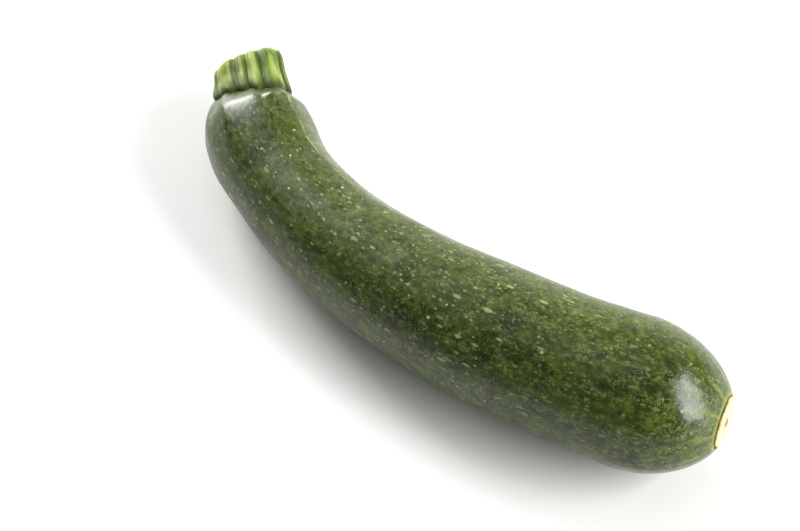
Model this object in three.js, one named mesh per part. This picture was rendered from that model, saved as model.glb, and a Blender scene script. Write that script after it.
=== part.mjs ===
import * as THREE from "three";
import { mergeVertices } from "three/addons/utils/BufferGeometryUtils.js";

// A courgette as picked, lying on its side: the green fruit, the stub of its cut stalk, and the
// corky scar where the flower dropped. Millimetres, +Z up, standing on z = 0.
// Each piece is turned straight on a lathe first. Its ribs are then raised by a formula, and the
// straight piece is laid along the fruit's bent middle line.

// The middle line of the bent fruit, from under the stalk to the scar at the flower end.
const middleLine = new THREE.CubicBezierCurve3(
  new THREE.Vector3(-88.8, 11.64, 18),
  new THREE.Vector3(-54.3, -17.05, 16.8),
  new THREE.Vector3(0.21, -25.55, 22.6),
  new THREE.Vector3(102.85, 11.2, 23.6),
);
const fruitLength = middleLine.getLength();

// Radius of the fruit along the first part of the middle line: stalk seat, shoulder, waist, belly.
const flankRadii = [
  { share: 0, radius: 11.4 },
  { share: 0.012, radius: 13.7 },
  { share: 0.03, radius: 15.7 },
  { share: 0.058, radius: 17.6 },
  { share: 0.11, radius: 18.2 },
  { share: 0.175, radius: 17.3 },
  { share: 0.24, radius: 17.6 },
  { share: 0.354, radius: 18.8 },
  { share: 0.496, radius: 20.8 },
  { share: 0.628, radius: 22.4 },
  { share: 0.76, radius: 22.8 },
  { share: 0.855, radius: 23.7 },
];
const stepsPerRadius = 3;
const flankProfile = new THREE.SplineCurve(
  flankRadii.map(({ share, radius }) => new THREE.Vector2(radius, share * fruitLength)),
).getPoints(stepsPerRadius * (flankRadii.length - 1));

// The dome at the flower end is part of an ellipse, with a shallow pit at its tip for the scar.
const bellyRadius = flankRadii.at(-1).radius;
const domeStart = flankRadii.at(-1).share * fruitLength;
const domeSteps = 12;
const pitRadius = 8.8;
const pitFloorRadius = 8.4;
const pitDepth = 0.5;
const domeReach = (fruitLength - domeStart) / Math.sqrt(1 - (pitRadius / bellyRadius) ** 2);

// Neither end is quite square to the middle line. The shoulder starts later on its upper side, and
// the pit faces a little up and outwards. Each lean is a slope and the angle that it is towards.
const shoulderSlope = 0.35;
const shoulderLean = THREE.MathUtils.degToRad(100);
const shoulderReach = 0.1 * fruitLength;
const pitSlope = 0.15;
const pitLean = THREE.MathUtils.degToRad(61);

// Five ribs run down the fruit from the stalk, with five weaker ones between them. Their heights
// are shares of the radius: high on the shoulder, and fading to almost nothing on the belly.
const ribCount = 5;
const firstRib = THREE.MathUtils.degToRad(54);
const ribTwist = THREE.MathUtils.degToRad(12);
const ribSharpness = 0.12;
const weakRib = 0.6;
const meanRib = 0.5;
const shoulderRib = 0.12;
const bodyRib = 0.018;
const ribFade = 0.17;

// Right round the stalk the skin is hollow between its ridges, as the stalk is.
const seatRib = 0.3;
const seatRibFade = 0.025;
const meanRidge = 0.66;

// The stalk: a ridged stub whose foot swells into rounded toes, cut off at a slant.
const stalkLength = 14;
const stalkRadius = 13.1;
const stalkFootRadius = 14.5;
const stalkInset = 1;
const stalkLift = 1.6;
const stalkWeakRib = 0.85;
const stalkGroove = 0.27;
const footGroove = 0.27;
const flareStart = 0.12;
const flareEnd = 0.6;
const toeTuck = 0.05;
const toeShare = 0.2;
const cutSlopeSideways = 0.22;
const cutSlopeUpwards = 0.37;
const cutDish = 0.6;
const stalkRows = 10;
const cutRings = [0, 0.3, 0.6, 0.9];
const footRings = [0.95, 0.88, 0.78, 0.6, 0.3, 0];

// The scar at the flower end: a thin corky pad with an uneven outline. Its section runs from the
// middle of its seat round the raised rim to the stub of the flower at its centre.
const scarRadius = 7.7;
const scarThickness = 1;
const scarWobble = 0.05;
const scarSection = [
  { across: 0, up: 0 },
  { across: 0.6, up: 0 },
  { across: 0.97, up: 0 },
  { across: 1, up: 0.5 },
  { across: 0.93, up: 1 },
  { across: 0.8, up: 0.95 },
  { across: 0.6, up: 0.6 },
  { across: 0.26, up: 0.6 },
  { across: 0.16, up: 1.1 },
  { across: 0, up: 1.3 },
];

const seatGap = 0.34;
const segmentsAround = 60;
const weldDistance = 1e-5;

// How far an angle round the axis stands on a rib: 1 on the crest, 0 in the valley.
function crest(angle) {
  const swing = Math.sin((ribCount * angle) / 2);
  return 1 - Math.hypot(swing, ribSharpness) / Math.hypot(1, ribSharpness);
}

// How far an angle stands on one of the stalk's ridges, which carry on from the fruit's ribs.
function ridge(angle) {
  const turn = angle - firstRib;
  return Math.min(1, crest(turn) + stalkWeakRib * crest(turn + Math.PI / ribCount));
}

// The ribs' share of the radius at one place on the fruit. Their mean is taken off, so that they
// leave the fruit's thickness as it is.
function fruitRibs(angle, station) {
  const share = THREE.MathUtils.clamp(station / fruitLength, 0, 1);
  const height = bodyRib + (shoulderRib - bodyRib) * Math.exp(-share / ribFade);
  const turn = angle - firstRib - ribTwist * share;
  const seat = seatRib * Math.exp(-share / seatRibFade) * (ridge(angle) - meanRidge);
  return height * (crest(turn) + weakRib * crest(turn + Math.PI / ribCount) - meanRib) + seat;
}

// Moves a point of the straight piece to its place on the bent one. Stations before the start
// of the middle line, where the stalk is, carry straight on.
function layOnMiddleLine(radius, angle, station) {
  const share = THREE.MathUtils.clamp(station / fruitLength, 0, 1);
  const along = middleLine.getTangentAt(share);
  const outward = new THREE.Vector3(along.y, -along.x, 0).normalize();
  const point = middleLine.getPointAt(share);
  point.addScaledVector(along, station - share * fruitLength);
  point.addScaledVector(outward, radius * Math.cos(angle));
  point.z += radius * Math.sin(angle);
  return point;
}

// The station of a place on the fruit once both ends lean. The leans fade towards the belly.
function leaned(radius, angle, station) {
  const nearStalk = THREE.MathUtils.clamp(1 - station / shoulderReach, 0, 1);
  const nearPit = THREE.MathUtils.clamp((station - domeStart) / (fruitLength - pitDepth - domeStart), 0, 1);
  const shoulder = shoulderSlope * nearStalk ** 2 * Math.cos(angle - shoulderLean);
  const pit = pitSlope * nearPit ** 2 * Math.cos(angle - pitLean);
  return station + radius * (shoulder - pit);
}

// Turns a profile of (radius, station) points and moves every vertex by the given rule.
function turned(profile, place) {
  const lathe = new THREE.LatheGeometry(profile, segmentsAround);
  lathe.deleteAttribute("normal");
  lathe.deleteAttribute("uv");
  const geometry = mergeVertices(lathe, weldDistance);
  const position = geometry.getAttribute("position");
  for (let i = 0; i < position.count; i++) {
    const x = position.getX(i);
    const z = position.getZ(i);
    const point = place(Math.hypot(x, z), Math.atan2(z, x), position.getY(i));
    position.setXYZ(i, point.x, point.y, point.z);
  }
  geometry.computeVertexNormals();
  return geometry;
}

// The fruit. What would sink below the surface that it lies on is pressed flat.
function fruitGeometry() {
  const domeEnd = Math.asin((fruitLength - domeStart) / domeReach);
  const dome = new THREE.EllipseCurve(0, domeStart, bellyRadius, domeReach, 0, domeEnd);
  const profile = [
    new THREE.Vector2(0, 0),
    ...flankProfile,
    ...dome.getPoints(domeSteps).slice(1),
    new THREE.Vector2(pitFloorRadius, fruitLength - pitDepth),
    new THREE.Vector2(0, fruitLength - pitDepth),
  ];
  return turned(profile, (radius, angle, station) => {
    const ribbed = radius * (1 + fruitRibs(angle, station));
    const point = layOnMiddleLine(ribbed, angle, leaned(ribbed, angle, station));
    point.z = Math.max(point.z, 0);
    return point;
  });
}

// The station where the skin under the stalk has a given radius.
function skinStation(angle, radius) {
  const skin = flankProfile.map(({ x, y }) => ({ station: y, radius: x * (1 + fruitRibs(angle, y)) }));
  const next = skin.findIndex((row) => row.radius > radius);
  if (next <= 0) return 0;
  const from = skin[next - 1];
  const to = skin[next];
  const between = (radius - from.radius) / (to.radius - from.radius);
  return THREE.MathUtils.lerp(from.station, to.station, between);
}

// Distance of the stalk's side from its own axis, at a height from 0 at the foot to 1 at the cut.
function stalkSide(angle, height) {
  const foot = stalkFootRadius * (1 - footGroove * (1 - ridge(angle)));
  const shaft = stalkRadius * (1 - stalkGroove * (1 - ridge(angle)));
  const tuck = toeTuck * Math.max(0, 1 - height / toeShare) ** 2;
  const rise = THREE.MathUtils.smoothstep(height, flareStart, flareEnd);
  return THREE.MathUtils.lerp(foot, shaft, rise) * (1 - tuck);
}

// The stalk. It stands a little above the middle line and to the inside of the bend. Its foot
// follows the fruit's shoulder, lower down on the ribs than between them.
function stalkGeometry() {
  const profile = cutRings.map((share) => new THREE.Vector2(share, 1));
  for (let row = stalkRows; row >= 0; row--) profile.push(new THREE.Vector2(1, row / stalkRows));
  for (const share of footRings) profile.push(new THREE.Vector2(share, 0));
  return turned(profile, (share, angle, height) => {
    const radius = share * stalkSide(angle, height);
    const across = radius * Math.cos(angle) - stalkInset;
    const upwards = radius * Math.sin(angle) + stalkLift;
    const reach = Math.hypot(across, upwards);
    const bearing = Math.atan2(upwards, across);
    const seat = leaned(reach, bearing, skinStation(bearing, Math.max(0, reach - seatGap))) - seatGap;
    const slant = cutSlopeSideways * Math.cos(angle) + cutSlopeUpwards * Math.sin(angle);
    const cut = slant * radius + cutDish * (1 - share * share) - stalkLength;
    return layOnMiddleLine(reach, bearing, THREE.MathUtils.lerp(seat, cut, height));
  });
}

// The scar, on the floor of its pit.
function scarGeometry() {
  const seat = fruitLength - pitDepth + seatGap;
  const profile = scarSection.map(
    ({ across, up }) => new THREE.Vector2(across * scarRadius, seat + up * scarThickness),
  );
  return turned(profile, (radius, angle, station) => {
    const wave = Math.sin(3 * angle + 0.7) + 0.6 * Math.sin(7 * angle);
    const uneven = radius * (1 + (scarWobble * wave * radius) / scarRadius);
    return layOnMiddleLine(uneven, angle, leaned(uneven, angle, station));
  });
}

function piece(name, geometry, colour, roughness) {
  const material = new THREE.MeshStandardMaterial({ color: colour, roughness, metalness: 0 });
  const mesh = new THREE.Mesh(geometry, material);
  mesh.name = name;
  return mesh;
}

const courgette = new THREE.Group();
courgette.add(piece("fruit", fruitGeometry(), "#4b5f24", 0.35));
courgette.add(piece("stalk", stalkGeometry(), "#8fa64a", 0.6));
courgette.add(piece("blossom_scar", scarGeometry(), "#e6d8ae", 0.85));

export default courgette;
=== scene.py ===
import bisect
import math

import bmesh
import bpy
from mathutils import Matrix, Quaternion, Vector, noise
from mathutils.geometry import interpolate_bezier


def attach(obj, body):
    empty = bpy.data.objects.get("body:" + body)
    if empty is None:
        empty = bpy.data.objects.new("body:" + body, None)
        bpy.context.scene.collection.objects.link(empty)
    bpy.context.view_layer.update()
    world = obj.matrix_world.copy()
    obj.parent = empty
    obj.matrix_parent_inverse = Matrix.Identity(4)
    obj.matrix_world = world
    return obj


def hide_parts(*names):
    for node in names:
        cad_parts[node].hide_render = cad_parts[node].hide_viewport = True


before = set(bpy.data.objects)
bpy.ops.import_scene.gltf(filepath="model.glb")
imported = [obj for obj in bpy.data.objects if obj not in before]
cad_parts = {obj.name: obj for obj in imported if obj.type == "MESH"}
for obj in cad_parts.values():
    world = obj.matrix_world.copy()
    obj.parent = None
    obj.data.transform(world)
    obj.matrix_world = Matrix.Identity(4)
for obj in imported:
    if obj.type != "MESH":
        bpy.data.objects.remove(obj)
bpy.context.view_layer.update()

# The fruit is one swollen, gently bent gourd under a thin waxy skin. It grew on the vine as a
# whole, so its ribs, its pleats and the pit of the flower are one surface. It lies on its belly.
BEND = [Vector((-0.0888, 0.01164, 0.018)), Vector((-0.0543, -0.01705, 0.0168)),
        Vector((0.00021, -0.02555, 0.0226)), Vector((0.10285, 0.0112, 0.0236))]
bend_points = interpolate_bezier(*BEND, 801)
bend_run = [0.0]
for before, after in zip(bend_points, bend_points[1:]):
    bend_run.append(bend_run[-1] + (after - before).length)
FRUIT_LENGTH = bend_run[-1]
FLANK = [(0, 0.0114), (0.012, 0.0137), (0.03, 0.0157), (0.058, 0.0176), (0.11, 0.0182), (0.175, 0.0173),
         (0.24, 0.0176), (0.354, 0.0188), (0.496, 0.0208), (0.628, 0.0224), (0.76, 0.0228), (0.855, 0.0237)]
PIT_RADIUS, PIT_FLOOR_RADIUS, PIT_DEPTH = 0.0088, 0.0084, 0.0005
SHOULDER_SLOPE, SHOULDER_LEAN, SHOULDER_REACH = 0.35, math.radians(100), 0.1 * FRUIT_LENGTH
PIT_SLOPE, PIT_LEAN = 0.15, math.radians(61)
RIB_COUNT, RIB_SHARPNESS = 5, 0.12
FIRST_RIB, RIB_TWIST = math.radians(54), math.radians(12)
WEAK_RIB, MEAN_RIB = 0.6, 0.5
SHOULDER_RIB, BODY_RIB, RIB_FADE = 0.12, 0.018, 0.17
SEAT_RIB, SEAT_RIB_FADE = 0.3, 0.025
WEAK_RIDGE, MEAN_RIDGE = 0.85, 0.66
PLEAT_DEPTH, PLEAT_FADE, PLEAT_START = 0.0006, 0.0055, 0.02
SWELLING_HEIGHT, SWELLING_STATION, SWELLING_ANGLE = 0.0018, 0.0118, 108
SWELLING_LENGTH, SWELLING_WIDTH = 0.0034, 7
ROWS_PER_RADIUS, DOME_ROWS, PIT_ROWS, SEAT_ROWS = 40, 48, 6, 8
SEAT_ROW, SEAT_LENGTH, BODY_ROW, DOME_MARGIN = 0.00025, 0.002, 0.0007, 0.0004
SKIN_AROUND = 216


def on_the_bend(along, outward, upward):
    """Where a point of the straight fruit lies on the bent one."""
    station = min(max(along, 0.0), FRUIT_LENGTH)
    k = min(max(bisect.bisect_right(bend_run, station), 1), len(bend_run) - 1)
    share = (station - bend_run[k - 1]) / (bend_run[k] - bend_run[k - 1])
    t = (k - 1 + share) / (len(bend_run) - 1)
    a, b, c = BEND[1] - BEND[0], BEND[2] - BEND[1], BEND[3] - BEND[2]
    heading = ((1 - t) ** 2 * a + 2 * t * (1 - t) * b + t * t * c).normalized()
    side = Vector((heading.y, -heading.x, 0)).normalized()
    point = bend_points[k - 1].lerp(bend_points[k], share) + heading * (along - station) + side * outward
    point.z += upward
    return point


def crest(angle):
    """How far an angle round the fruit stands on a rib: 1 on the crest and 0 in the valley."""
    swing = math.sin(RIB_COUNT * angle / 2)
    return 1 - math.hypot(swing, RIB_SHARPNESS) / math.hypot(1, RIB_SHARPNESS)


def stalk_ridge(angle):
    """How far an angle stands on one of the stalk's ridges, which carry on from the ribs."""
    turn = angle - FIRST_RIB
    return min(1.0, crest(turn) + WEAK_RIDGE * crest(turn + math.pi / RIB_COUNT))


def rib_height(angle, station):
    """The ribs' share of the radius, high on the shoulder and fading towards the belly."""
    share = min(max(station / FRUIT_LENGTH, 0.0), 1.0)
    height = BODY_RIB + (SHOULDER_RIB - BODY_RIB) * math.exp(-share / RIB_FADE)
    turn = angle - FIRST_RIB - RIB_TWIST * share
    seat = SEAT_RIB * math.exp(-share / SEAT_RIB_FADE) * (stalk_ridge(angle) - MEAN_RIDGE)
    return height * (crest(turn) + WEAK_RIB * crest(turn + math.pi / RIB_COUNT) - MEAN_RIB) + seat


def flank_spline(per_span):
    """Points of the smooth flank through the measured radii, from the stalk's seat to the dome."""
    found = []
    last = len(FLANK) - 1
    for k in range(last):
        rows = [FLANK[min(max(k + d, 0), last)] for d in (-1, 0, 1, 2)]
        near = [Vector((share * FRUIT_LENGTH, radius)) for share, radius in rows]
        for step in range(per_span):
            t = step / per_span
            u, v = (near[2] - near[0]) / 2, (near[3] - near[1]) / 2
            found.append((2 * near[1] - 2 * near[2] + u + v) * t ** 3
                         + (3 * near[2] - 3 * near[1] - 2 * u - v) * t ** 2 + u * t + near[1])
    return found + [Vector((FLANK[last][0] * FRUIT_LENGTH, FLANK[last][1]))]


flank = flank_spline(ROWS_PER_RADIUS)
flank_stations = [p.x for p in flank]


def flank_radius(station):
    """Radius of the skin on the flank, before its ribs."""
    k = min(max(bisect.bisect_right(flank_stations, station), 1), len(flank) - 1)
    share = (station - flank[k - 1].x) / (flank[k].x - flank[k - 1].x)
    return flank[k - 1].y + (flank[k].y - flank[k - 1].y) * min(max(share, 0.0), 1.0)


def pleat(angle, station):
    """Depth of the short creases that gather the skin round the pit of the flower."""
    room = FRUIT_LENGTH - station
    if room > PLEAT_START:
        return 0.0
    turn = angle - FIRST_RIB - RIB_TWIST
    fold = max(0.0, math.cos(2 * RIB_COUNT * turn + 0.5 * math.sin(3 * angle))) ** 6
    strength = 0.6 + 0.4 * math.sin(2.3 * angle + 1)
    return PLEAT_DEPTH * fold * strength * math.exp(-room / PLEAT_FADE)


belly_radius, dome_start = FLANK[-1][1], FLANK[-1][0] * FRUIT_LENGTH
dome_reach = (FRUIT_LENGTH - dome_start) / math.sqrt(1 - (PIT_RADIUS / belly_radius) ** 2)
dome_turn = math.asin((FRUIT_LENGTH - dome_start) / dome_reach)


def leaned(radius, angle, station):
    """The station of a place on the fruit once its shoulder and its pit lean."""
    near_stalk = min(max(1 - station / SHOULDER_REACH, 0.0), 1.0)
    near_pit = min(max((station - dome_start) / (FRUIT_LENGTH - PIT_DEPTH - dome_start), 0.0), 1.0)
    shoulder = SHOULDER_SLOPE * near_stalk ** 2 * math.cos(angle - SHOULDER_LEAN)
    pit = PIT_SLOPE * near_pit ** 2 * math.cos(angle - PIT_LEAN)
    return station + radius * (shoulder - pit)


outline = [(0.0, FLANK[0][1] * k / SEAT_ROWS) for k in range(SEAT_ROWS)]
station = 0.0
while station < dome_start - DOME_MARGIN:
    outline.append((station, flank_radius(station)))
    station += SEAT_ROW if station < SEAT_LENGTH else BODY_ROW
for k in range(DOME_ROWS + 1):
    turn = dome_turn * k / DOME_ROWS
    outline.append((dome_start + dome_reach * math.sin(turn), belly_radius * math.cos(turn)))
outline += [(FRUIT_LENGTH - 0.00005, PIT_RADIUS - 0.00025), (FRUIT_LENGTH - 0.0003, PIT_RADIUS - 0.0005)]
outline += [(FRUIT_LENGTH - PIT_DEPTH, PIT_FLOOR_RADIUS * k / PIT_ROWS) for k in range(PIT_ROWS, -1, -1)]


def turned_solid(section, around):
    """A closed solid turned from (station, radius) points that start and end on the axis."""
    solid = bmesh.new()
    points = [solid.verts.new((x, r, 0)) for x, r in section]
    edges = [solid.edges.new(pair) for pair in zip(points, points[1:])]
    bmesh.ops.spin(solid, geom=points + edges, cent=(0, 0, 0), axis=(1, 0, 0), dvec=(0, 0, 0),
                   angle=math.tau, steps=around, use_merge=True, use_normal_flip=False, use_duplicate=False)
    bmesh.ops.remove_doubles(solid, verts=solid.verts[:], dist=1e-6)
    for face in solid.faces:
        face.smooth = True
    return solid


def grown_piece(name, solid):
    """Makes an object of a finished bmesh. Its place is in its mesh."""
    solid.normal_update()
    bmesh.ops.recalc_face_normals(solid, faces=solid.faces[:])
    mesh = bpy.data.meshes.new(name)
    solid.to_mesh(mesh)
    solid.free()
    piece = bpy.data.objects.new(name, mesh)
    bpy.context.scene.collection.objects.link(piece)
    return piece


skin = turned_solid(outline, SKIN_AROUND)
straight_layer = skin.verts.layers.float_vector.new("straight")
for vert in skin.verts:
    station, angle = vert.co.x, math.atan2(vert.co.z, vert.co.y)
    radius = math.hypot(vert.co.y, vert.co.z)
    vert[straight_layer] = vert.co.copy()
    swell = 0.00022 * noise.noise(vert.co * 55) + 0.00007 * noise.noise(vert.co * 190 + Vector((3, 1, 7)))
    aside = (math.degrees(angle) - SWELLING_ANGLE) / SWELLING_WIDTH
    beyond = (station - SWELLING_STATION) / SWELLING_LENGTH
    swell += SWELLING_HEIGHT * math.exp(-aside ** 2 - beyond ** 2)
    ease = min(1.0, radius / 0.012)
    radius = radius * (1 + rib_height(angle, station)) + ease * (swell - pleat(angle, station))
    place = on_the_bend(leaned(radius, angle, station), radius * math.cos(angle), radius * math.sin(angle))
    place.z = max(place.z, 0.0)
    vert.co = place
fruit = grown_piece("courgette_skin", skin)


def add(tree, kind, settings=None, **inputs):
    """Adds one node. An input is a value or the socket that feeds it; _0 is the first input."""
    new = tree.nodes.new(kind)
    for name, value in (settings or {}).items():
        setattr(new, name, value)
    for name, value in inputs.items():
        socket = new.inputs[int(name[1:])] if name[1:].isdigit() else new.inputs[name.replace("_", " ")]
        if isinstance(value, bpy.types.NodeSocket):
            tree.links.new(value, socket)
        else:
            socket.default_value = value
    return new


def shade(hexadecimal):
    """A screen colour as the linear colour that a socket holds."""
    parts = [int(hexadecimal[k:k + 2], 16) / 255 for k in (1, 3, 5)]
    return [p / 12.92 if p <= 0.04045 else ((p + 0.055) / 1.055) ** 2.4 for p in parts] + [1.0]


def maths(tree, operation, first, second=0.0, third=0.0):
    """The result of one sum, product or other step."""
    found = add(tree, "ShaderNodeMath", {"operation": operation}, _0=first, _1=second, _2=third)
    return found.outputs[0]


def ranged(tree, value, low, high, out_low=0.0, out_high=1.0):
    """The value from low to high, smoothly, as out_low to out_high."""
    found = add(tree, "ShaderNodeMapRange", {"interpolation_type": "SMOOTHSTEP"}, _0=value,
                _1=low, _2=high, _3=out_low, _4=out_high)
    return found.outputs[0]


def blended(tree, share, below, above):
    """One colour over another by a share."""
    found = add(tree, "ShaderNodeMix", {"data_type": "RGBA"}, _0=share, _6=below, _7=above)
    return found.outputs[2]


def clouds(tree, vector, scale, detail=3.0, roughness=0.55, distortion=0.0):
    """Soft noise from 0 to 1."""
    found = add(tree, "ShaderNodeTexNoise", None, Vector=vector, Scale=scale, Detail=detail,
                Roughness=roughness, Distortion=distortion)
    return found.outputs[0]


def stretched(tree, vector, scale, shift=(0.0, 0.0, 0.0)):
    """The same place, scaled along each axis: below 1 draws a pattern out along that axis."""
    return add(tree, "ShaderNodeMapping", None, Vector=vector, Scale=scale, Location=shift).outputs[0]


def specks_group():
    """Small specks, one in some of the cells: where they are and how bright each is."""
    group = bpy.data.node_groups.new("pale_specks", "ShaderNodeTree")
    for name, kind, value in (("Vector", "NodeSocketVector", None), ("Scale", "NodeSocketFloat", 500.0),
                              ("Size", "NodeSocketFloat", 0.2), ("Share", "NodeSocketFloat", 0.5)):
        socket = group.interface.new_socket(name, in_out="INPUT", socket_type=kind)
        if value is not None:
            socket.default_value = value
    group.interface.new_socket("Mask", in_out="OUTPUT", socket_type="NodeSocketFloat")
    given = group.nodes.new("NodeGroupInput").outputs
    result = group.nodes.new("NodeGroupOutput")
    cells = add(group, "ShaderNodeTexVoronoi", {"feature": "F1"}, Vector=given["Vector"],
                Scale=given["Scale"])
    chance = add(group, "ShaderNodeSeparateColor", None, Color=cells.outputs["Color"])
    present = maths(group, "LESS_THAN", chance.outputs[0], given["Share"])
    spread = maths(group, "MULTIPLY_ADD", chance.outputs[1], 0.8, 0.4)
    size = maths(group, "MULTIPLY", given["Size"], spread)
    edge = maths(group, "SUBTRACT", 1.0, maths(group, "DIVIDE", cells.outputs["Distance"], size))
    dot = ranged(group, edge, 0.0, 0.45)
    bright = maths(group, "MULTIPLY_ADD", chance.outputs[2], 0.7, 0.3)
    mask = maths(group, "MULTIPLY", maths(group, "MULTIPLY", dot, present), bright)
    group.links.new(mask, result.inputs["Mask"])
    return group


pale_specks = specks_group()


def specks(tree, vector, scale, size, share):
    """Where the specks are, in the given share of the cells."""
    return add(tree, "ShaderNodeGroup", {"node_tree": pale_specks}, Vector=vector, Scale=scale,
               Size=size, Share=share).outputs["Mask"]


def new_finish(name, roughness, **constants):
    """A material with its shader. Constants are set on the shader's own sockets."""
    finish = bpy.data.materials.new(name)
    finish.use_nodes = True
    tree = finish.node_tree
    shader = tree.nodes["Principled BSDF"]
    shader.inputs["Roughness"].default_value = roughness
    for socket, value in constants.items():
        shader.inputs[socket.replace("_", " ")].default_value = value
    return finish, tree, shader


waxy_skin, tree, shader = new_finish("waxy_green_skin", 0.3, Coat_Weight=0.06, Coat_Roughness=0.2,
                                     Coat_IOR=1.4, Specular_IOR_Level=0.36)
straight = add(tree, "ShaderNodeAttribute", {"attribute_name": "straight"}).outputs["Vector"]
lengthwise = stretched(tree, straight, (0.6, 1.0, 1.0))
parts = add(tree, "ShaderNodeSeparateXYZ", None, Vector=straight)
station, outward, upward = parts.outputs
share = maths(tree, "DIVIDE", station, FRUIT_LENGTH)

# mottled ground, nearly black green to leaf green, greyer by the stalk, and lighter and yellower within the
# bend and towards the top: partly the skin's own tint, partly painted light on the side the light falls on
broad = clouds(tree, straight, 42.0, 3.0)
middling = clouds(tree, lengthwise, 230.0, 4.0, 0.62)
grey_clouds = clouds(tree, stretched(tree, straight, (1, 1, 1), (0.3, 0.1, 0.2)), 75.0, 3.0)
greyness = maths(tree, "MULTIPLY", ranged(tree, grey_clouds, 0.45, 0.66, 0.15, 1.0),
                 ranged(tree, share, 0.1, 0.8, 0.6, 0.12))
inward = maths(tree, "MULTIPLY_ADD", outward, -1.0, maths(tree, "MULTIPLY", upward, 0.3))
bend_tint_and_painted_light = ranged(tree, inward, 0.0, 0.022)
colour = blended(tree, ranged(tree, broad, 0.32, 0.68), shade("#212b06"), shade("#35420c"))
colour = blended(tree, ranged(tree, middling, 0.4, 0.7, 0.0, 0.7), colour, shade("#4a5a18"))
colour = blended(tree, greyness, colour, shade("#3d4926"))
# lighter and yellower on the inside of the bend and on the top: partly the skin's own tint, partly painted
# light
colour = blended(tree, maths(tree, "MULTIPLY", bend_tint_and_painted_light, 0.45), colour, shade("#4d5d16"))

# fine mottling, light and dark
fine = clouds(tree, stretched(tree, straight, (0.8, 1, 1), (0.9, 0.5, 0.1)), 520.0, 3.0, 0.6)
colour = blended(tree, ranged(tree, fine, 0.5, 0.7, 0.0, 0.6), colour, shade("#616d36"))
colour = blended(tree, ranged(tree, fine, 0.49, 0.3, 0.0, 0.75), colour, shade("#161e04"))

# small curled pale strokes, close together at the flower end and sparse by the stalk
swirls = clouds(tree, lengthwise, 640.0, 1.0, 0.5, 0.6)
contour = maths(tree, "ABSOLUTE", maths(tree, "SUBTRACT", swirls, 0.5))
broken = clouds(tree, stretched(tree, straight, (1, 1, 1), (0.7, 0.2, 0.4)), 900.0, 1.0)
strokes = maths(tree, "MULTIPLY", ranged(tree, contour, 0.07, 0.02), ranged(tree, broken, 0.46, 0.56))
strokes = maths(tree, "MULTIPLY", strokes, ranged(tree, clouds(tree, lengthwise, 200.0, 2.0), 0.36, 0.54))
strokes = maths(tree, "MULTIPLY", strokes, ranged(tree, share, 0.1, 0.6, 0.45, 1.0))
colour = blended(tree, maths(tree, "MULTIPLY", strokes, 0.5), colour, shade("#75844a"))

# pale dots of three sizes
fine_dots = specks(tree, lengthwise, 720.0, 0.34, 0.5)
dashes = specks(tree, stretched(tree, straight, (0.4, 1.0, 1.0), (0.05, 0, 0)), 400.0, 0.26, 0.5)
bold_dots = specks(tree, straight, 290.0, 0.17, 0.5)
dotted = maths(tree, "MULTIPLY", ranged(tree, share, 0.05, 0.16, 0.3, 0.85),
               ranged(tree, share, 0.6, 0.9, 1.0, 0.4))
colour = blended(tree, maths(tree, "MULTIPLY", fine_dots, dotted), colour, shade("#8f9b5e"))
colour = blended(tree, maths(tree, "MULTIPLY", dashes, dotted), colour, shade("#9aa76e"))
colour = blended(tree, maths(tree, "MULTIPLY", bold_dots, dotted), colour, shade("#b9c191"))

# the ribs by the stalk: a pale line on each crest, palest within the bend, and a green one between
angle = maths(tree, "ARCTAN2", upward, outward)
wander = maths(tree, "MULTIPLY_ADD", clouds(tree, straight, 110.0, 3.0), 0.16, -0.08)
turn = maths(tree, "ADD", maths(tree, "SUBTRACT", angle, FIRST_RIB),
             maths(tree, "MULTIPLY_ADD", share, -RIB_TWIST, wander))
crest_line = maths(tree, "ABSOLUTE", maths(tree, "SINE", maths(tree, "MULTIPLY", turn, RIB_COUNT / 2)))
weak_line = maths(tree, "ABSOLUTE", maths(tree, "COSINE", maths(tree, "MULTIPLY", turn, RIB_COUNT / 2)))
pale_line = maths(tree, "MULTIPLY", ranged(tree, crest_line, 0.1, 0.03), ranged(tree, share, 0.42, 0.12))
inner_rib = maths(tree, "COSINE", maths(tree, "SUBTRACT", turn, 2 * math.pi / RIB_COUNT))
pale_line = maths(tree, "MULTIPLY", pale_line, ranged(tree, inner_rib, 0.6, 0.95, 0.2, 1.0))
green_line = maths(tree, "MULTIPLY", ranged(tree, weak_line, 0.14, 0.03), ranged(tree, share, 0.3, 0.05))
patchy = ranged(tree, clouds(tree, lengthwise, 260.0, 3.0), 0.4, 0.58, 0.2, 1.0)
pale_line = maths(tree, "MULTIPLY", maths(tree, "MULTIPLY", pale_line, patchy), 0.8)
green_line = maths(tree, "MULTIPLY", maths(tree, "MULTIPLY", green_line, patchy), 0.5)
colour = blended(tree, pale_line, colour, shade("#8a9860"))
colour = blended(tree, green_line, colour, shade("#4b5d1e"))

# the skin turns yellow-green towards the pit of the flower, first along its pleats
room = maths(tree, "SUBTRACT", FRUIT_LENGTH, station)
folds = maths(tree, "COSINE", maths(tree, "MULTIPLY", turn, 2 * RIB_COUNT))
pleats = maths(tree, "POWER", maths(tree, "MAXIMUM", folds, 0.0), 8.0)
near_pit = ranged(tree, room, 0.0009, 0.0002)
streaks = maths(tree, "MULTIPLY", pleats, ranged(tree, room, 0.01, 0.001))
colour = blended(tree, maths(tree, "MULTIPLY", streaks, 0.6), colour, shade("#6f7d1c"))
colour = blended(tree, maths(tree, "MULTIPLY", near_pit, 0.6), colour, shade("#7f8030"))
tree.links.new(colour, shader.inputs["Base Color"])

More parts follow.
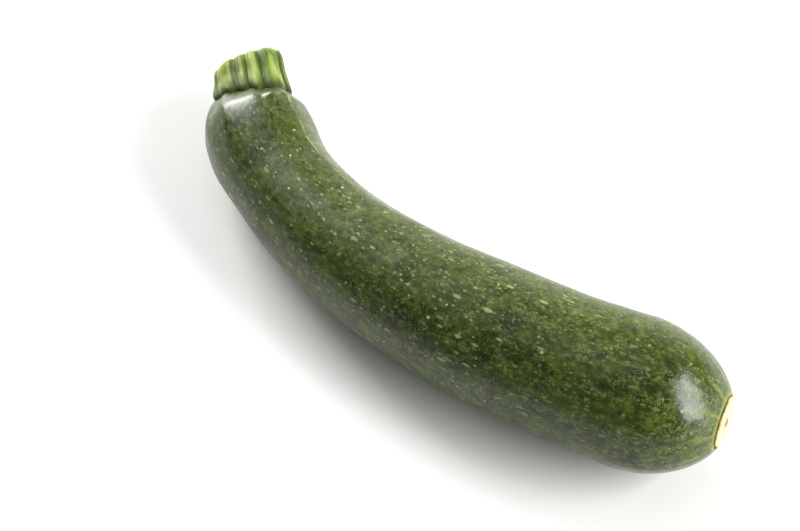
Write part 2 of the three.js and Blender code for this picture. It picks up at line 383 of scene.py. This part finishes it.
# waxy and uneven, glossier on the dome and dull on the strokes, with a fine orange-peel relief
dull = clouds(tree, straight, 120.0, 4.0)
rough = ranged(tree, dull, 0.3, 0.75, 0.26, 0.42)
rough = maths(tree, "SUBTRACT", rough, ranged(tree, share, 0.78, 0.92, 0.0, 0.09))
rough = maths(tree, "ADD", rough, maths(tree, "MULTIPLY", strokes, 0.1))
tree.links.new(rough, shader.inputs["Roughness"])
relief = maths(tree, "MULTIPLY_ADD", clouds(tree, lengthwise, 420.0, 3.0), 0.8,
               maths(tree, "MULTIPLY", strokes, 0.15))
relief = maths(tree, "ADD", relief, maths(tree, "MULTIPLY", fine_dots, 0.2))
bump = add(tree, "ShaderNodeBump", None, Strength=0.35, Distance=0.0004, Height=relief)
tree.links.new(bump.outputs[0], shader.inputs["Normal"])
tree.links.new(bump.outputs[0], shader.inputs["Coat Normal"])
fruit.data.materials.append(waxy_skin)
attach(fruit, "root")
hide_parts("fruit")

# The stub of the stalk that carried the fruit: fresh, ridged and juicy. Its foot swells into toes
# that grip the shoulder of the fruit between its ribs, and a knife cut it off at a slant.
STALK_LENGTH, STALK_RADIUS, STALK_FOOT_RADIUS = 0.014, 0.0128, 0.0142
STALK_INSET, STALK_LIFT = 0.001, 0.0016
FOOT_GROOVE, SHAFT_GROOVE, LOBE_SHARE = 0.24, 0.22, 0.5
FLARE_START, FLARE_END = 0.12, 0.6
TOE_TUCK, TOE_SHARE, TOP_TUCK, TOP_START = 0.05, 0.2, 0.06, 0.7
CUT_SIDEWAYS, CUT_UPWARDS, CUT_DISH = 0.22, 0.37, 0.0006
FOOT_SINK = 0.0001
STALK_ROWS, STALK_AROUND = 44, 240
ON_CUT = 0.999
stalk_section = [(1.0, share) for share in (0.0, 0.12, 0.24, 0.36, 0.48, 0.6, 0.7, 0.8, 0.88, 0.94, 0.98)]
stalk_section += [(0.994, 0.993), (0.98, 1.0)]
stalk_section += [(0.98 * (1 - row / STALK_ROWS), 1.0) for row in range(1, STALK_ROWS + 1)]
stalk_section += [(0.0, share) for share in (0.97, 0.94, 0.9, 0.84, 0.76, 0.66, 0.5, 0.3, 0.0)]


def skin_station(angle, radius):
    """The station where the ribbed shoulder of the fruit has this radius."""
    low, high = 0.0, 0.02
    if flank_radius(0.0) * (1 + rib_height(angle, 0.0)) >= radius:
        return 0.0
    for _ in range(24):
        middle = (low + high) / 2
        if flank_radius(middle) * (1 + rib_height(angle, middle)) < radius:
            low = middle
        else:
            high = middle
    return low


def eased(value, low, high):
    """0 below low, 1 above high, and a smooth step between them."""
    share = min(max((value - low) / (high - low), 0.0), 1.0)
    return share * share * (3 - 2 * share)


GROOVE_TURNS = (-8, 24, 64, 86, 109, 156, 187, 219, 252, 284, 318, 352, 384)
STALK_GROOVES = [math.radians(turn) for turn in GROOVE_TURNS]
LOBE_HEIGHTS = [0.9, 1.0, 0.72, 0.82, 1.0, 0.8, 1.0, 0.75, 1.0, 0.8, 0.95, 0.9]


def lobe(angle):
    """How far an angle stands on one of the stalk's rounded lobes, from 0 in a groove."""
    turn = angle % math.tau
    k = bisect.bisect_right(STALK_GROOVES, turn)
    share = (turn - STALK_GROOVES[k - 1]) / (STALK_GROOVES[k] - STALK_GROOVES[k - 1])
    return LOBE_HEIGHTS[k - 1] * (1 - abs(2 * share - 1) ** 2.2)


stub = turned_solid(stalk_section, STALK_AROUND)
straight_layer = stub.verts.layers.float_vector.new("straight")
ridge_layer = stub.verts.layers.float.new("ridge")
height_layer = stub.verts.layers.float.new("height")
cut_layer = stub.verts.layers.float.new("cut_face")
for vert in stub.verts:
    height, share, angle = vert.co.x, math.hypot(vert.co.y, vert.co.z), math.atan2(vert.co.z, vert.co.y)
    ridge = lobe(angle)
    below = stalk_ridge(angle + 0.1 * math.sin(4 * height + 2 * angle))
    broad = LOBE_SHARE * ridge + (1 - LOBE_SHARE) * below
    fibre = noise.noise(Vector((math.cos(angle) * 9, math.sin(angle) * 9, height * 1.5)))
    foot = STALK_FOOT_RADIUS * (1 - FOOT_GROOVE * (1 - broad))
    shaft = STALK_RADIUS * (1 - SHAFT_GROOVE * (1 - broad)) + 0.0005 * fibre
    tuck = TOE_TUCK * max(0.0, 1 - height / TOE_SHARE) ** 2
    tuck += TOP_TUCK * eased(height, TOP_START, 1.0) ** 2
    radius = share * (foot + (shaft - foot) * eased(height, FLARE_START, FLARE_END)) * (1 - tuck)
    across, upward = radius * math.cos(angle) - STALK_INSET, radius * math.sin(angle) + STALK_LIFT
    reach, bearing = math.hypot(across, upward), math.atan2(upward, across)
    seat = leaned(reach, bearing, skin_station(bearing, reach)) + FOOT_SINK
    slant = CUT_SIDEWAYS * math.cos(angle) + CUT_UPWARDS * math.sin(angle)
    cut = slant * radius + CUT_DISH * (1 - share * share) - STALK_LENGTH
    if height > ON_CUT:
        cut += 0.00012 * noise.noise(Vector((radius * math.cos(angle), radius * math.sin(angle), 0)) * 900)
    along = seat + (cut - seat) * height
    vert[straight_layer] = Vector((along, across, upward))
    vert[ridge_layer] = ridge
    vert[height_layer] = height
    vert[cut_layer] = share if height > ON_CUT else 2.0
    vert.co = on_the_bend(along, across, upward)
stalk = grown_piece("stalk_stub", stub)

fresh_stalk, tree, shader = new_finish("fresh_ribbed_stalk", 0.5, Specular_IOR_Level=0.33,
                                       Subsurface_Weight=0.12, Subsurface_Scale=0.002)
straight = add(tree, "ShaderNodeAttribute", {"attribute_name": "straight"}).outputs["Vector"]
ridge = add(tree, "ShaderNodeAttribute", {"attribute_name": "ridge"}).outputs["Fac"]
height = add(tree, "ShaderNodeAttribute", {"attribute_name": "height"}).outputs["Fac"]
cut_share = add(tree, "ShaderNodeAttribute", {"attribute_name": "cut_face"}).outputs["Fac"]

# darker in the grooves and yellow-green on the lobes, the grooves' dark partly their own deeper green and
# partly painted shade, with pale fibres and dark blotches
fibres = clouds(tree, stretched(tree, straight, (0.12, 1.0, 1.0)), 900.0, 3.0, 0.6)
patches = clouds(tree, stretched(tree, straight, (0.7, 1.0, 1.0)), 210.0, 3.0)
colour = blended(tree, ranged(tree, ridge, 0.05, 0.6), shade("#22350a"), shade("#50660a"))
colour = blended(tree, ranged(tree, ridge, 0.62, 0.95), colour, shade("#6c7f10"))
colour = blended(tree, ranged(tree, fibres, 0.5, 0.72, 0.0, 0.4), colour, shade("#94a63a"))
colour = blended(tree, ranged(tree, patches, 0.46, 0.6, 0.0, 0.85), colour, shade("#3c5504"))
streak = clouds(tree, stretched(tree, straight, (0.05, 1.0, 1.0), (0.4, 0.1, 0)), 210.0, 2.0)
colour = blended(tree, ranged(tree, streak, 0.54, 0.66, 0.0, 0.6), colour, shade("#a9b56a"))
# darker towards the foot: partly a deeper green, partly painted shade where the toes tuck in against the
# shoulder
colour = blended(tree, ranged(tree, height, 0.36, 0.06, 0.0, 0.85), colour, shade("#26380a"))
colour = blended(tree, ranged(tree, height, 0.9, 1.0, 0.0, 0.7), colour, shade("#a6b45c"))

# the cut face: pale pith in the middle, a greener ring round it, and the ends of the fibres
bundles = specks(tree, straight, 700.0, 0.36, 0.7)
pith = blended(tree, ranged(tree, cut_share, 0.55, 0.8), shade("#8f9868"), shade("#748440"))
pith = blended(tree, maths(tree, "MULTIPLY", bundles, 0.7), pith, shade("#4c5e20"))
pith = blended(tree, ranged(tree, cut_share, 0.9, 1.0), pith, shade("#5c7222"))
colour = blended(tree, maths(tree, "LESS_THAN", cut_share, 1.001), colour, pith)
tree.links.new(colour, shader.inputs["Base Color"])
tree.links.new(ranged(tree, fibres, 0.3, 0.7, 0.46, 0.64), shader.inputs["Roughness"])
relief = maths(tree, "ADD", fibres, maths(tree, "MULTIPLY", patches, 0.4))
bump = add(tree, "ShaderNodeBump", None, Strength=0.6, Distance=0.0004, Height=relief)
tree.links.new(bump.outputs[0], shader.inputs["Normal"])
stalk.data.materials.append(fresh_stalk)
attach(stalk, "root")
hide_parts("stalk")

# The corky pad that the flower left when it dropped: dry, cream and uneven, with a raised rim and
# the brown stub of the flower in its middle. It is grown into the shallow pit at the fruit's end.
SCAR_RADIUS, SCAR_THICKNESS = 0.00825, 0.001
SCAR_GAP, SCAR_WOBBLE, SCAR_TEAR = 0.00034, 0.05, 0.03
SCAR_AROUND = 144
scar_seat = FRUIT_LENGTH - PIT_DEPTH + SCAR_GAP
scar_section = [(0, 0), (0, 0.3), (0, 0.6), (0, 0.9), (0.1, 0.97), (0.5, 1), (0.8, 0.98), (1, 0.93),
                (1.02, 0.87), (0.95, 0.8), (0.78, 0.72), (0.64, 0.64), (0.6, 0.56), (0.6, 0.48), (0.6, 0.4),
                (0.6, 0.33), (0.62, 0.27), (0.8, 0.22), (1.05, 0.17), (1.22, 0.11), (1.3, 0.05), (1.3, 0)]
scar_section = [(scar_seat + up * SCAR_THICKNESS, across * SCAR_RADIUS) for up, across in scar_section]
pad = turned_solid(scar_section, SCAR_AROUND)
straight_layer = pad.verts.layers.float_vector.new("straight")
for vert in pad.verts:
    angle, radius = math.atan2(vert.co.z, vert.co.y), math.hypot(vert.co.y, vert.co.z)
    vert[straight_layer] = vert.co.copy()
    share = radius / SCAR_RADIUS
    wobble = SCAR_WOBBLE * (math.sin(3 * angle + 0.7) + 0.6 * math.sin(7 * angle)) * share
    torn = SCAR_TEAR * share * noise.noise(Vector((math.cos(angle), math.sin(angle), 0)) * 7)
    rise = 0.0
    if vert.co.x > scar_seat + 0.4 * SCAR_THICKNESS:
        rise = 0.00012 * noise.noise(vert.co * 700) + 0.00008 * noise.noise(vert.co * 1700)
    radius *= 1 + wobble + torn
    along = leaned(radius, angle, vert.co.x) + rise
    vert.co = on_the_bend(along, radius * math.cos(angle), radius * math.sin(angle))
scar = grown_piece("blossom_scar_pad", pad)

dry_cork, tree, shader = new_finish("dry_cream_cork", 0.85)
straight = add(tree, "ShaderNodeAttribute", {"attribute_name": "straight"}).outputs["Vector"]
parts = add(tree, "ShaderNodeSeparateXYZ", None, Vector=straight)
flat = add(tree, "ShaderNodeCombineXYZ", None, Y=parts.outputs[1], Z=parts.outputs[2]).outputs[0]
distance = add(tree, "ShaderNodeVectorMath", {"operation": "LENGTH"}, _0=flat).outputs["Value"]
share = maths(tree, "DIVIDE", distance, SCAR_RADIUS)
grain = clouds(tree, straight, 620.0, 5.0, 0.65)
colour = blended(tree, ranged(tree, grain, 0.35, 0.7), shade("#d6c190"), shade("#eadbb4"))
colour = blended(tree, ranged(tree, share, 0.86, 1.02, 0.0, 0.7), colour, shade("#b7a95a"))
colour = blended(tree, ranged(tree, share, 0.3, 0.12, 0.0, 0.85), colour, shade("#6e4a26"))
seams = maths(tree, "SUBTRACT", clouds(tree, straight, 380.0, 3.0), 0.5)
cracks = ranged(tree, maths(tree, "ABSOLUTE", seams), 0.02, 0.0)
colour = blended(tree, maths(tree, "MULTIPLY", cracks, 0.5), colour, shade("#a98a55"))
tree.links.new(colour, shader.inputs["Base Color"])
relief = maths(tree, "SUBTRACT", grain, maths(tree, "MULTIPLY", cracks, 0.4))
bump = add(tree, "ShaderNodeBump", None, Strength=0.8, Distance=0.0004, Height=relief)
tree.links.new(bump.outputs[0], shader.inputs["Normal"])
tree.links.new(ranged(tree, grain, 0.3, 0.7, 0.75, 0.95), shader.inputs["Roughness"])
scar.data.materials.append(dry_cork)
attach(scar, "root")
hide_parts("blossom_scar")

# A plain white floor under soft studio light: a strip of light beyond the flower end, a softbox
# beyond the stalk, weak ones above, a long panel behind and a dim surround. The camera looks down
# on the courgette from beside its flower end.
sheet = bmesh.new()
bmesh.ops.create_grid(sheet, x_segments=8, y_segments=8, size=4.0)
floor = grown_piece("floor", sheet)
plain_floor, tree, shader = new_finish("plain_white_floor", 0.6)
place = add(tree, "ShaderNodeTexCoord").outputs["Object"]
tone = blended(tree, clouds(tree, place, 6.0, 2.0), shade("#f4f4f2"), shade("#f8f8f6"))
tree.links.new(tone, shader.inputs["Base Color"])
floor.data.materials.append(plain_floor)


def soft_light(name, place, aim, width, height, power, roll=0.0):
    """A softbox at a place, turned towards a point and rolled on its stand, in degrees."""
    lamp = bpy.data.lights.new(name, "AREA")
    lamp.shape, lamp.size, lamp.size_y, lamp.energy = "RECTANGLE", width, height, power
    box = bpy.data.objects.new(name, lamp)
    box.location = place
    box.rotation_mode = "QUATERNION"
    turn = Quaternion((0, 0, 1), math.radians(roll))
    box.rotation_quaternion = (Vector(aim) - Vector(place)).to_track_quat("-Z", "Y") @ turn
    bpy.context.scene.collection.objects.link(box)
    return box


def towards(azimuth, elevation, distance):
    """A place in a direction from the middle of the floor: azimuth from +X, elevation, in degrees."""
    flat = distance * math.cos(math.radians(elevation))
    turn = math.radians(azimuth)
    return flat * math.cos(turn), flat * math.sin(turn), distance * math.sin(math.radians(elevation))


soft_light("light_beyond_flower", towards(21, 28, 1.6), (0.03, 0, 0.02), 0.72, 1.5, 46, -42)
soft_light("light_beyond_stalk", towards(162, 19, 1.8), (-0.05, 0, 0.02), 0.85, 0.75, 44)
soft_light("light_above_stalk", towards(166, 40, 1.8), (-0.05, 0, 0.02), 0.7, 0.55, 3.5)
soft_light("light_overhead", towards(170, 66, 2.0), (0, 0, 0.02), 2.0, 2.0, 7)
soft_light("backdrop_panel", towards(120, 17, 1.9), (0, 0, 0.02), 3.0, 1.0, 9)
world = bpy.data.worlds.new("pale_surround")
world.use_nodes = True
surround = world.node_tree.nodes["Background"]
surround.inputs["Color"].default_value = (1.0, 1.0, 1.0, 1)
surround.inputs["Strength"].default_value = 0.2
bpy.context.scene.world = world
bpy.context.scene.view_settings.view_transform = "Standard"

lens = bpy.data.cameras.new("camera")
lens.lens, lens.sensor_width = 85, 36
camera = bpy.data.objects.new("camera", lens)
camera.location = (0.19571, -0.24801, 0.52432)
aim = Vector((-0.00712, -0.00765, 0.021)) - camera.location
camera.rotation_mode = "QUATERNION"
camera.rotation_quaternion = aim.to_track_quat("-Z", "Y")
bpy.context.scene.collection.objects.link(camera)
bpy.context.scene.camera = camera
